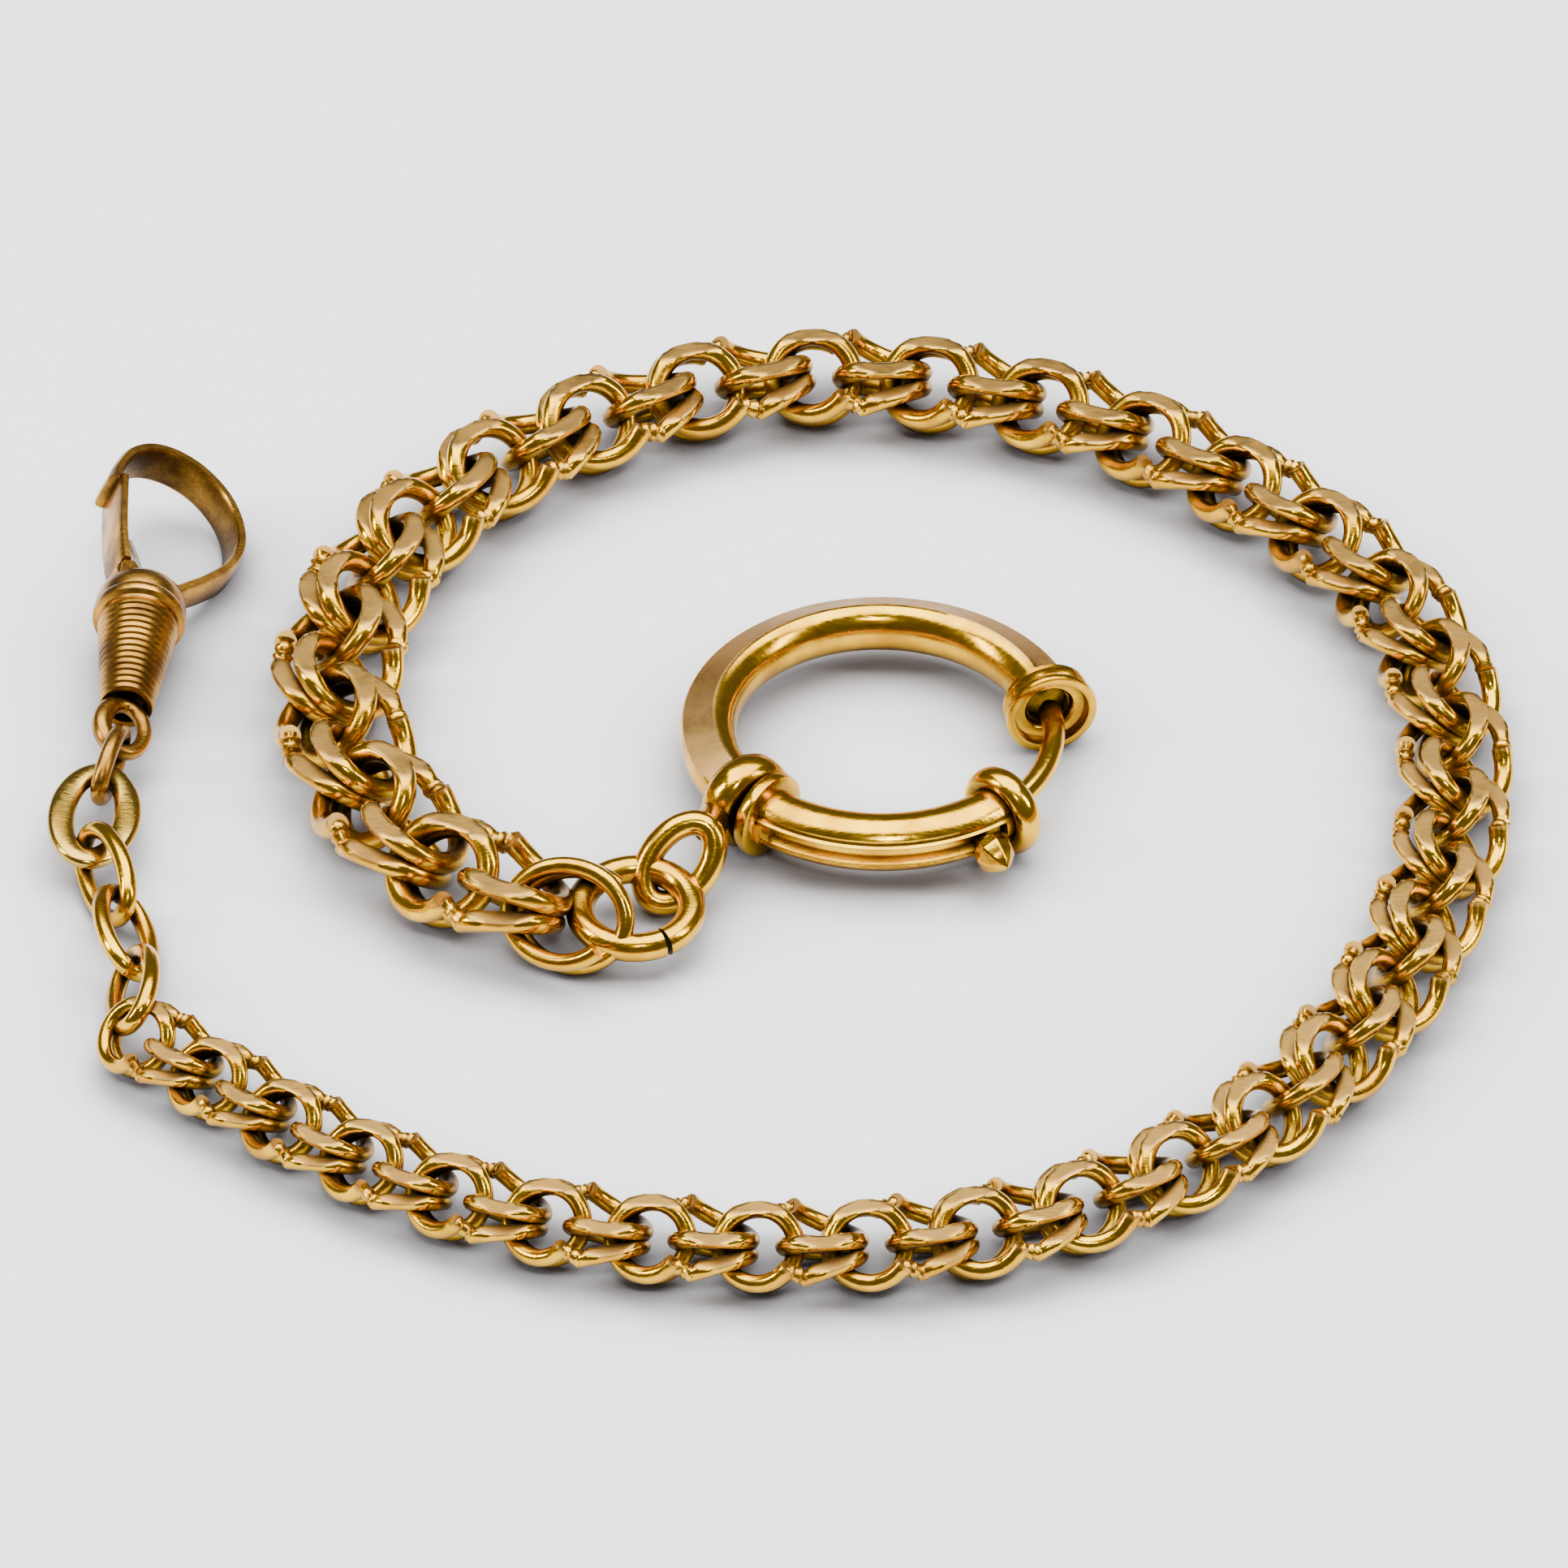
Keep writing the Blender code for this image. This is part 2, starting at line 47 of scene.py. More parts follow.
JOINTS = {joint["child"]: joint for joint in frame["joints"]}

UNIT_COUNT = 35
FIRST_PITCH = 5.07
LAST_PITCH = 7.35
COIL_RADIUS = 0.332  # this and the next four are shares of the pitch
COIL_WIRE = 0.081
COIL_SPREAD = 0.12
COIL_FLARE = 0.27
SOLDERED_SPACING = 0.56
COIL_START = 325.0  # a coil runs between these angles, from its free end to its soldered end
COIL_STOP = -300.0

RING_RADIUS = 9.0
TUBE_RADIUS = 1.5
BORE_RADIUS = 1.12
MOUTH_ANGLE = 14.0
LOWER_TUBE = (-137.0, -46.0)
EYE_ANGLE = -138.0
KNOB_AT = -60.0
WORN_SIDE = Vector((0.45, -0.89)).normalized()  # away and down, so this is the upper outer side

EXTRA_ROLL = 7.0  # degrees that the hook is turned in its swivel beyond the CAD's

CAMERA_ELEVATION = 40.0
CAMERA_DISTANCE = 420.0
CAMERA_LENS = 186.3

RING_CENTRE = Vector(JOINTS["bolt"]["pos_m"]) / MM
SHIFT = RING_CENTRE - Vector((0, 0, 2.5))  # the table under the ring's centre, where links are placed from


# ---- meshes ----


def matrix_of(x_axis, y_axis, z_axis, at):
    """A frame with these axes, its origin at this point."""
    columns = (*x_axis, 0.0), (*y_axis, 0.0), (*z_axis, 0.0), (*at, 1.0)
    return Matrix(columns).transposed()


def path_frames(points, closed=False, first=None):
    """Points along a path and two directions across it at each, with as little twist as there can be."""
    points = np.array([tuple(p) for p in points], float)
    if closed:
        tangents = np.roll(points, -1, 0) - np.roll(points, 1, 0)
    else:
        tangents = np.gradient(points, axis=0)
    tangents /= np.linalg.norm(tangents, axis=1)[:, None]
    normal = np.array(first if first else (0.31, 0.22, 0.93), float)
    normals = []
    for tangent in tangents:
        normal = normal - tangent * (normal @ tangent)
        normal = normal / np.linalg.norm(normal)
        normals.append(normal)
    normals = np.array(normals)
    sideways = np.cross(tangents, normals)
    if closed:
        last = normals[-1] - tangents[0] * (normals[-1] @ tangents[0])
        turn = math.atan2(last @ sideways[0], last @ normals[0])
        angles = -turn * np.arange(len(points)) / len(points)
        cosines, sines = np.cos(angles)[:, None], np.sin(angles)[:, None]
        normals, sideways = normals * cosines + sideways * sines, sideways * cosines - normals * sines
    return points, normals, sideways


def tube_rings(points, radius, sides=14, closed=False, first=None):
    """Rings of points round a path. The radius is one number or one for each point."""
    points, normals, sideways = path_frames(points, closed, first)
    radius = np.broadcast_to(np.asarray(radius, float), (len(points),))[:, None, None]
    turns = np.arange(sides) * 2 * math.pi / sides
    around = normals[:, None, :] * np.cos(turns)[None, :, None]
    around = around + sideways[:, None, :] * np.sin(turns)[None, :, None]
    return points[:, None, :] + radius * around


def loft(rings, closed=False):
    """(points, faces) of the skin over rings of points, with capped ends unless it closes on itself."""
    rings = np.asarray(rings, float)
    count, sides = rings.shape[:2]
    faces = []
    for i in range(count if closed else count - 1):
        here, there = i * sides, (i + 1) % count * sides
        for j in range(sides):
            k = (j + 1) % sides
            faces.append([here + j, here + k, there + k, there + j])
    if not closed:
        faces.append(list(range(sides))[::-1])
        faces.append([(count - 1) * sides + j for j in range(sides)])
    return rings.reshape(-1, 3), faces


def build(name, shells, material, ground=None, sharp=38, darkening=None):
    """One mesh object from shells of (points, faces). The ground mark and the darkening mark are 0 to 1 for
    each point.
    """
    points = np.concatenate([shell[0] for shell in shells]) * MM
    faces, base = [], 0
    for shell_points, shell_faces in shells:
        faces += [[base + i for i in face] for face in shell_faces]
        base += len(shell_points)
    mesh = bpy.data.meshes.new(name)
    mesh.from_pydata(points.tolist(), [], faces)
    mesh.update()
    for label, given in (("ground", ground), ("darkening", darkening)):
        values = np.zeros(len(points), np.float32) if given is None else np.asarray(given, np.float32)
        mesh.attributes.new(label, "FLOAT", "POINT").data.foreach_set("value", values)
    mesh.polygons.foreach_set("use_smooth", [True] * len(mesh.polygons))
    mesh.set_sharp_from_angle(angle=math.radians(sharp))
    mesh.materials.append(material)
    piece = bpy.data.objects.new(name, mesh)
    bpy.context.scene.collection.objects.link(piece)
    return piece


def stand_for(piece, body, slot, *nodes):
    """The piece rides on this body and stands in for these CAD nodes."""
    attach(piece, body)
    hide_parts(*nodes)


def turned(profile, matrix, steps=48, closed=True):
    """A profile of (radius, height) turned about the matrix's Z. Only a closed one joins its ends."""
    rings = []
    for i in range(steps):
        turn = 2 * math.pi * i / steps
        ring = [matrix @ Vector((r * math.cos(turn), r * math.sin(turn), h)) for r, h in profile]
        rings.append([tuple(p) for p in ring])
    points, faces = loft(rings, closed=True)
    if not closed:
        last = len(profile) - 1
        faces = [face for face in faces if face[0] % len(profile) != last]
    return points, faces


def rounded(outline, share=0.24):
    """The same outline with each corner cut twice, so that its edges catch the light."""
    for _ in range(2):
        corners = []
        for a, b in zip(outline, outline[1:] + outline[:1]):
            corners.append((a[0] + (b[0] - a[0]) * share, a[1] + (b[1] - a[1]) * share))
            corners.append((b[0] + (a[0] - b[0]) * share, b[1] + (a[1] - b[1]) * share))
        outline = corners
    return outline


def oval(half_length, half_width, steps):
    """Points (x, y) round an ellipse."""
    turns = [2 * math.pi * i / steps for i in range(steps)]
    return [(half_length * math.cos(a), half_width * math.sin(a)) for a in turns]


def smooth_line(corners, steps):
    """A Catmull-Rom line through the corners."""
    corners = [Vector(c) for c in corners]
    corners = [corners[0] * 2 - corners[1]] + corners + [corners[-1] * 2 - corners[-2]]
    line = []
    for a, b, c, d in zip(corners, corners[1:], corners[2:], corners[3:]):
        for i in range(steps):
            t = i / steps
            line.append(0.5 * ((2 * b) + (c - a) * t + (2 * a - 5 * b + 4 * c - d) * t * t
                               + (3 * b - a - 3 * c + d) * t * t * t))
    return line + [corners[-2]]


# ---- materials ----


def node(tree, kind, inputs=None, **settings):
    """A new node. Each input is a value, or a socket to link it to."""
    made = tree.nodes.new(kind)
    for key, value in settings.items():
        setattr(made, key, value)
    for key, value in (inputs or {}).items():
        if isinstance(value, bpy.types.NodeSocket):
            tree.links.new(value, made.inputs[key])
        else:
            made.inputs[key].default_value = value
    return made


def mixed(tree, factor, first, second):
    """A colour between two others."""
    made = node(tree, "ShaderNodeMix", {0: factor, 6: first, 7: second}, data_type="RGBA")
    return made.outputs[2]


def ranged(tree, value, low, high, to_low, to_high):
    """The value carried from low-high to the other range, and held inside it."""
    inputs = {0: value, 1: low, 2: high, 3: to_low, 4: to_high}
    return node(tree, "ShaderNodeMapRange", inputs).outputs[0]


def math_of(tree, operation, first, second=0.0):
    return node(tree, "ShaderNodeMath", {0: first, 1: second}, operation=operation).outputs[0]


def noise(tree, place, scale, detail):
    inputs = {"Vector": place, "Scale": scale, "Detail": detail}
    return node(tree, "ShaderNodeTexNoise", inputs).outputs[0]


def new_material(name):
    """(material, its node tree, its shader, object coordinates)."""
    material = bpy.data.materials.new(name)
    material.use_nodes = True
    tree = material.node_tree
    place = node(tree, "ShaderNodeTexCoord").outputs["Object"]
    return material, tree, tree.nodes["Principled BSDF"], place


def gold(name, bright, deep, ground_colour, shade_colour, roughness=(0.10, 0.24), reach=2.0):
    """Worn gold: cloudy colour, matte ground flats, painted shade that darkens the recesses, fine scratches
    and dents.
    """
    material, tree, shader, place = new_material(name)
    cloud = noise(tree, place, 420.0, 4.0)
    grain = noise(tree, place, 5200.0, 5.0)
    tilted = node(tree, "ShaderNodeMapping", {0: place, 2: (0.2, 0.1, 0.7), 3: (1.0, 9.0, 3.0)}).outputs[0]
    lines = noise(tree, tilted, 1500.0, 6.0)
    ground = node(tree, "ShaderNodeAttribute", attribute_name="ground").outputs["Fac"]
    # The darkening mark from the mesh, which deepens the painted shade on the points it marks.
    darkening = node(tree, "ShaderNodeAttribute", attribute_name="darkening").outputs["Fac"]
    # Ambient occlusion finds the recesses. Below, the colour there is painted toward a near-black shade
    # colour.
    hollow = node(tree, "ShaderNodeAmbientOcclusion", {"Distance": reach * MM}, samples=8).outputs["AO"]

    colour = mixed(tree, ranged(tree, cloud, 0.35, 0.65, 0.0, 1.0), (*bright, 1), (*deep, 1))
    blotch = mixed(tree, ranged(tree, lines, 0.42, 0.6, 0.0, 0.5), (*ground_colour, 1), (*deep, 1))
    colour = mixed(tree, ground, colour, blotch)
    # Painted shade: where little is open round a point, its colour goes to the dark shade colour. Points
    # marked for darkening get more of it.
    open_air = math_of(tree, "ADD", hollow, math_of(tree, "MULTIPLY", grain, 0.2))
    open_air = math_of(tree, "SUBTRACT", open_air, darkening)
    painted_shade = ranged(tree, open_air, 0.42, 0.86, 0.97, 0.0)
    colour = mixed(tree, painted_shade, colour, (*shade_colour, 1))
    tree.links.new(colour, shader.inputs["Base Color"])

    rough = ranged(tree, cloud, 0.3, 0.7, *roughness)
    rough = math_of(tree, "ADD", rough, math_of(tree, "MULTIPLY", ground, 0.2))
    rough = math_of(tree, "ADD", rough, math_of(tree, "MULTIPLY", painted_shade, 0.3))
    rough = math_of(tree, "ADD", rough, ranged(tree, lines, 0.4, 0.7, -0.03, 0.07))
    tree.links.new(rough, shader.inputs["Roughness"])
    shader.inputs["Metallic"].default_value = 1.0

    height = math_of(tree, "MULTIPLY", cloud, 2.0)
    height = math_of(tree, "ADD", height, math_of(tree, "MULTIPLY", grain, 0.25))
    height = math_of(tree, "ADD", height, math_of(tree, "MULTIPLY", lines, 0.5))
    bump = node(tree, "ShaderNodeBump", {"Strength": 0.35, "Distance": 0.03 * MM, "Height": height})
    tree.links.new(bump.outputs[0], shader.inputs["Normal"])
    return material


def steel(name):
    """Brushed spring steel with a fine grain."""
    material, tree, shader, place = new_material(name)
    grain = noise(tree, place, 3000.0, 4.0)
    colour = mixed(tree, grain, (0.5, 0.48, 0.45, 1), (0.3, 0.27, 0.22, 1))
    tree.links.new(colour, shader.inputs["Base Color"])
    tree.links.new(ranged(tree, grain, 0.3, 0.7, 0.25, 0.45), shader.inputs["Roughness"])
    shader.inputs["Metallic"].default_value = 1.0
    bump = node(tree, "ShaderNodeBump", {"Strength": 0.3, "Distance": 0.02 * MM, "Height": grain})
    tree.links.new(bump.outputs[0], shader.inputs["Normal"])
    return material


POLISH = (0.84, 0.48, 0.014), (0.52, 0.25, 0.008)
# The near-black colour painted into the gold's recesses as shade.
RECESS_SHADE = (0.014, 0.006, 0.001)
GOLD = gold("gold_polished", *POLISH, (0.42, 0.25, 0.075), RECESS_SHADE)
RING = gold("gold_ring", *POLISH, (0.70, 0.43, 0.16), RECESS_SHADE)
# For the worn and flat-link golds, the fourth colour is the near-black painted into their recesses as shade.
WORN = gold(
    "gold_worn", (0.56, 0.28, 0.038), (0.13, 0.055, 0.01), (0.34, 0.18, 0.06), (0.010, 0.005, 0.001),
    roughness=(0.2, 0.38), reach=1.8,
)
FLAT = gold(
    "gold_flat_link", (0.62, 0.40, 0.07), (0.42, 0.25, 0.035), (0.55, 0.38, 0.10), (0.03, 0.015, 0.004),
)
STEEL = steel("spring_steel")


# ---- the coil chain ----


def pitch_of(index):
    """The length of one unit. It grows steadily from the hook end."""
    return FIRST_PITCH + (LAST_PITCH - FIRST_PITCH) * (index - 1) / (UNIT_COUNT - 1)


def unit_matrix(index):
    """The frame in the middle of a unit: X along the chain, Y outward, Z up."""
    joint = JOINTS[f"chain_unit_{index:02d}"]
    outward = Vector(joint["axis"]).normalized() * (-1 if index % 2 == 0 else 1)
    forward = Vector((-outward.y, outward.x, 0.0)).normalized()
    at = Vector(joint["pos_m"]) / MM - forward * pitch_of(index) / 2
    return matrix_of(forward, outward, UP, at)


def coil_offset(spread, flare, degrees):
    """How far along the coil's own axis its wire is at this angle."""
    beyond = max(0.0, abs(degrees) - 170) / 160
    return spread * degrees / 360 + math.copysign(flare * beyond ** 1.5, degrees)


def coil_points(radius, spread, flare, first, last, side, steps):
    """Two turns about a line 45 degrees up. The last half turn at each end flares away from the middle."""
    points = []
    for i in range(steps + 1):
        degrees = first + (last - first) * i / steps
        rise = radius * math.sin(math.radians(degrees))
        along = radius * math.cos(math.radians(degrees))
        offset = coil_offset(spread, flare, degrees)
        outward, up = (offset - rise) / math.sqrt(2), (offset + rise) / math.sqrt(2)
        points.append(Vector((side * along, side * outward, up)))
    return points


def chain_unit(index):
    """Two coils, the second turned half round from the first, with solder between their ends."""
    pitch = pitch_of(index)
    radius, spread, flare = COIL_RADIUS * pitch, COIL_SPREAD * pitch, COIL_FLARE * pitch
    wire = COIL_WIRE * pitch
    matrix = unit_matrix(index)
    turn, middle = np.array(matrix.to_3x3()), np.array(matrix.translation)
    steps = 96
    degrees = COIL_START + (COIL_STOP - COIL_START) * np.arange(steps + 1) / steps
    radii = np.full(steps + 1, wire)
    radii[:3] *= (1.0, 1.05, 1.03)
    radii[-5:] *= np.linspace(1.0, 0.82, 5)
    shells, marks, ends = [], [], []
    for side in (1, -1):
        points = coil_points(radius, spread, flare, COIL_START, COIL_STOP, side, steps)
        rings = tube_rings(points, radii, 14)
        mark = np.zeros(rings.shape[:2])
        # Each turn's top is worn flat, to a height that is some of the wire's radius above its middle.
        for top, depth in ((90.0, 0.22), (-270.0, 0.6)):
            near = np.abs(degrees - top) < 75
            height = (coil_offset(spread, flare, top) + radius) / math.sqrt(2) + depth * wire
            high = near[:, None] & (rings[:, :, 2] > height)
            rings[:, :, 2] = np.where(high, height, rings[:, :, 2])
            mark = np.maximum(mark, high)
        mark[0] = 1
        rings[:, :, 0] -= side * SOLDERED_SPACING * pitch / 2
        ends.append((rings[1].mean(axis=0), rings[-2].mean(axis=0)))
        shells.append(loft(rings @ turn.T + middle))
        marks.append(mark.ravel())
    # Solder fills the gap between each free end and the start of the other coil.
    for (free, _), (_, joined) in (ends, ends[::-1]):
        line = [Vector(free * (1 - t) + joined * t) for t in np.linspace(-0.05, 1.05, 9)]
        radii = wire * (0.86 + 0.16 * np.cos(np.arange(9) * 2.3 + index))
        rings = tube_rings(line, radii, 12)
        shells.append(loft(rings @ turn.T + middle))
        marks.append(np.full(rings.shape[0] * rings.shape[1], 0.35))
    name = f"chain_unit_{index:02d}"
    piece = build(f"coil_pair_{index:02d}", shells, GOLD, np.concatenate(marks), 50)
    stand_for(piece, name, "gold", name)


def end_link():
    """The long coil that closes the heavy end."""
    heading = math.radians(-21)
    forward = Vector((math.cos(heading), math.sin(heading), 0.0))
    outward = Vector((forward.y, -forward.x, 0.0))
    matrix = matrix_of(forward, outward, UP, SHIFT + Vector((-15.9, -14.8, 2.5)))
    points = coil_points(2.5, 1.7, 0.5, COIL_START, COIL_STOP, 1, 110)
    points = [Vector((p.x * 1.2, p.y, p.z)) for p in points]
    rings = tube_rings([matrix @ p for p in points], 0.46, 16)
    piece = build("closing_coil", [loft(rings)], GOLD, None, 50)
    stand_for(piece, "end_link", "gold", "end_link")


# ---- the bolt ring ----


def ring_point(degrees, radius=RING_RADIUS):
    """The point at this angle round the bolt ring."""
    angle = math.radians(degrees)
    return RING_CENTRE + Vector((radius * math.cos(angle), radius * math.sin(angle), 0.0))


def ring_matrix(degrees):
    """X away from the ring's centre, Y down, Z along the tube."""
    angle = math.radians(degrees)
    away = Vector((math.cos(angle), math.sin(angle), 0.0))
    along = Vector((-math.sin(angle), math.cos(angle), 0.0))
    return matrix_of(away, along.cross(away), along, ring_point(degrees))


def ring_loft(first, last, steps, section):
    """A section of (away, down) points carried round the ring. It is given the share of the way."""
    rings = []
    for i in range(steps + 1):
        share = i / steps
        matrix = ring_matrix(first + (last - first) * share)
        rings.append([tuple(matrix @ Vector((x, y, 0.0))) for x, y in section(share)])
    return np.array(rings)


def worn_height(share):
    """How far from the tube's middle its worn flat lies. The flat is widest halfway along the tube."""
    return TUBE_RADIUS * (0.86 - 0.10 * math.sin(math.pi * share) ** 0.5)


def upper_section(share):
    """Round, with a broad worn flat on the top and outside."""
    height = worn_height(share)
    points = []
    for i in range(40):
        turn = 2 * math.pi * i / 40
        point = Vector((math.cos(turn), math.sin(turn))) * TUBE_RADIUS
        over = point.dot(WORN_SIDE) - height
        points.append(point - WORN_SIDE * over if over > 0 else point)
    return [(p.x, p.y) for p in points]


def lower_section(share):
    """Round, with a slot at its outer side and two fine lines each side of it."""
    slotted = 0.14 <= share <= 0.93
    points = []
    for i in range(72):
        turn = 2 * math.pi * i / 72
        radius = TUBE_RADIUS
        from_slot = abs((math.degrees(turn) + 180) % 360 - 180 + 8)
        if from_slot < 14:
            radius -= 0.42 if slotted else 0.0
        elif 21 < from_slot < 29:
            radius -= 0.11
        elif 34 < from_slot < 37:
            radius -= 0.06
        points.append((radius * math.cos(turn), radius * math.sin(turn)))
    return points


def bored(rings, radius):
    """The skin of a tube whose ends open into a bore of this radius."""
    centre = rings.mean(axis=1, keepdims=True)
    ends = []
    for ring, middle in ((rings[0], centre[0]), (rings[-1], centre[-1])):
        spokes = ring - middle
        spokes = spokes / np.linalg.norm(spokes, axis=1)[:, None]
        ends.append(middle + spokes * radius)
    inner_first = ends[0] + (centre[2] - centre[0])
    inner_last = ends[1] + (centre[-3] - centre[-1])
    return np.concatenate([[inner_first], [ends[0]], rings, [ends[1]], [inner_last]])


def upper_tube():
    """The long tube from the mouth round to the large collar."""
    steps = 120
    rings = ring_loft(MOUTH_ANGLE, 360 + EYE_ANGLE, steps, upper_section)
    marks = []
    for i in range(steps + 1):
        edge = worn_height(i / steps) - 0.005 * TUBE_RADIUS
        marks.append([0.9 * (Vector(p).dot(WORN_SIDE) > edge) for p in upper_section(i / steps)])
    marks = marks[:1] * 2 + marks + marks[-1:] * 2
    piece = build("upper_tube", [loft(bored(rings, BORE_RADIUS))], RING, np.ravel(marks), 20)
    stand_for(piece, "bolt_ring", "gold", "ring_upper_tube")


def lower_tube():
    """The short slotted tube that the knob runs along, with a squared tab beside the large collar."""
    rings = bored(ring_loft(LOWER_TUBE[0] + 1, LOWER_TUBE[1], 90, lower_section), BORE_RADIUS)
    tab = []
    for degrees in (-130.5, -127.2):
        matrix = ring_matrix(degrees)
        corners = [(1.1, 0.72), (1.1, -0.5), (1.62, -0.5), (1.66, 0.1), (1.5, 0.72)]
        tab.append([tuple(matrix @ Vector((x, y, 0.0))) for x, y in corners])
    piece = build("lower_tube", [loft(rings), loft(tab)], RING, None, 25)
    stand_for(piece, "bolt_ring", "gold", "ring_lower_tube")


def ring_collars():
    """Turned collars round the tube, from profiles of (radius, height)."""
    mouth = [
        (1.86, -0.5), (2.0, -0.98), (2.2, -1.05), (2.42, -0.95), (2.48, -0.72), (2.38, -0.52),
        (2.06, -0.38), (1.98, -0.18), (2.06, 0.0), (2.3, 0.14), (2.32, 0.36), (2.1, 0.6), (1.66, 0.72),
        (1.46, 0.5), (1.46, 0.2), (1.2, 0.2), (1.2, -0.28), (1.34, -0.42), (1.6, -0.36),
    ]
    exit_collar = [
        (0.8, -0.3), (1.5, -0.3), (1.52, -0.62), (1.9, -0.78), (2.2, -0.66), (2.38, -0.34), (2.42, 0.0),
        (2.36, 0.32), (2.16, 0.6), (1.85, 0.74), (1.5, 0.7), (1.1, 0.5), (0.8, 0.42),
    ]
    large = [
        (1.4, -1.0), (1.8, -1.15), (2.2, -0.97), (2.46, -0.55), (2.52, 0.0), (2.46, 0.55), (2.2, 0.88),
        (1.9, 0.98), (1.4, 0.9),
    ]
    small = [
        (1.3, -0.5), (1.78, -0.5), (2.2, -0.36), (2.34, 0.0), (2.26, 0.3), (1.9, 0.42), (1.3, 0.42),
    ]
    for name, profile, degrees, sharp, cad_node in (
        ("mouth", mouth, MOUTH_ANGLE, 45, "mouth_collar"),
        ("exit_collar", exit_collar, LOWER_TUBE[1], 50, "knob_end_collar"),
        ("large_collar", large, EYE_ANGLE - 3, 50, "left_collar_large"),
        ("small_collar", small, EYE_ANGLE + 7, 50, "left_collar_small"),
    ):
        piece = build(name, [turned(profile, ring_matrix(degrees))], GOLD, None, sharp)
        stand_for(piece, "bolt_ring", "gold", cad_node)


def bolt_and_knob():
    """The sliding wire with its rounded tip, and its faceted knob on a short stem."""
    points = [ring_point(MOUTH_ANGLE - 1.0 - i) for i in range(78)]
    radii = np.full(len(points), 0.6)
    radii[:3] = (0.4, 0.5, 0.57)
    piece = build("bolt_wire", [loft(tube_rings(points, radii, 20, first=(0, 0, 1)))], GOLD, None, 50)
    stand_for(piece, "bolt", "gold", "bolt")

    matrix = ring_matrix(KNOB_AT)
    outward = matrix.to_3x3().col[0]
    along = matrix.to_3x3().col[2]
    stem = matrix_of(along, outward.cross(along), outward, ring_point(KNOB_AT, 0.0))
    profile = [
        (0.02, 12.75), (0.42, 12.5), (0.86, 12.05), (1.07, 11.55), (1.0, 11.05), (0.72, 10.68),
        (0.42, 10.5), (0.40, 9.6), (0.02, 9.6),
    ]
    piece = build("knob", [turned(profile, stem, 8, closed=False)], GOLD, None, 22)
    bevel = piece.modifiers.new("edges", "BEVEL")
    bevel.width = 0.07 * MM
    bevel.segments = 2
    bevel.limit_method = "ANGLE"
    stand_for(piece, "bolt", "gold", "thumb_knob")


# ---- plain links ----


def link_matrix(at, along, tilt):
    """X along the link, Y across it, turned about its length by the tilt from flat."""
    along = Vector(along).normalized()
    across = UP.cross(along).normalized()
    rise = along.cross(across)
    angle = math.radians(tilt)
    side = across * math.cos(angle) + rise * math.sin(angle)
    return matrix_of(along, side, along.cross(side), SHIFT + Vector(at))


def wire_oval(name, matrix, half_length, half_width, radius, material, slot):
    """A closed link of round wire."""
    points = [matrix @ Vector((x, y, 0.0)) for x, y in oval(half_length, half_width, 64)]
    piece = build(name + "_wire", [loft(tube_rings(points, radius, 16, True), True)], material, None, 60)
    stand_for(piece, name, slot, name)


def wire_links():
    """Three oval links between the chain and the flat link, and a small one above it."""
    for name, matrix in (
        ("oval_link_1", link_matrix((-37.75, -20.2, 2.3), (-0.11, 0.97, -0.2), -52)),
        ("oval_link_2", link_matrix((-38.4, -15.4, 1.9), (-0.18, 0.98, 0), 43)),
        ("oval_link_3", link_matrix((-39.75, -10.85, 1.9), (-0.37, 0.93, 0.06), -62)),
    ):
        wire_oval(name, matrix, 3.0, 1.6, 0.47, GOLD, "gold")
    matrix = link_matrix((-40.0, -2.45, 2.2), (0.22, 0.97, 0.03), 97)
    wire_oval("small_oval_link", matrix, 2.15, 1.35, 0.46, WORN, "worn_gold")


def flat_link():
    """A stamped oval plate with an oval hole."""
    matrix = link_matrix((-40.6, -6.35, 2.0), (0.08, 1, 0.05), 8)
    section = rounded([(0, -0.36), (1, -0.36), (1, 0.36), (0, 0.36)])
    rings = []
    for inner, outer in zip(oval(2.55, 1.0, 96), oval(3.8, 2.38, 96)):
        ring = [(Vector(inner).lerp(Vector(outer), share), z) for share, z in section]
        rings.append([tuple(matrix @ Vector((p.x, p.y, z))) for p, z in ring])
    piece = build("flat_link_plate", [loft(rings, True)], FLAT, None, 40)
    stand_for(piece, "flat_link", "flat_link_gold", "flat_link")


def jump_ring():
    """A round ring, cut across and closed up to a narrow gap."""
    matrix = link_matrix((-12.57, -13.5, 1.9), (0.86, 0.49, 0.04), 3)
    turns = [math.radians(-88 + 356 * i / 90) for i in range(91)]
    points = [matrix @ Vector((2.85 * math.cos(a), 2.85 * math.sin(a), 0.0)) for a in turns]
    piece = build("jump_ring_wire", [loft(tube_rings(points, 0.74, 22))], GOLD, None, 60)
    stand_for(piece, "jump_ring", "gold", "jump_ring")


def attachment_eye():
    """A hoop beside the large collar, and the neck that joins it."""
    centre = SHIFT + Vector((-10.4, -10.6, 2.45))
    across, rise = Vector((1.65, 0.0, 0.0)), Vector((0.77, 1.36, 1.54))
    points = [centre + across * x + rise * y for x, y in oval(1.0, 1.0, 64)]
    hoop = loft(tube_rings(points, 0.66, 20, True), True)
    top = centre + rise * 0.8 + across * 0.45
    neck = [top.lerp(ring_point(EYE_ANGLE - 3, RING_RADIUS + 2.0), i / 8) for i in range(9)]
    stem = loft(tube_rings(neck, np.linspace(0.62, 0.95, 9), 18))
    piece = build("eye_hoop", [hoop, stem], GOLD, None, 60)
    stand_for(piece, "bolt_ring", "gold", "attachment_eye")


# ---- the swivel hook ----


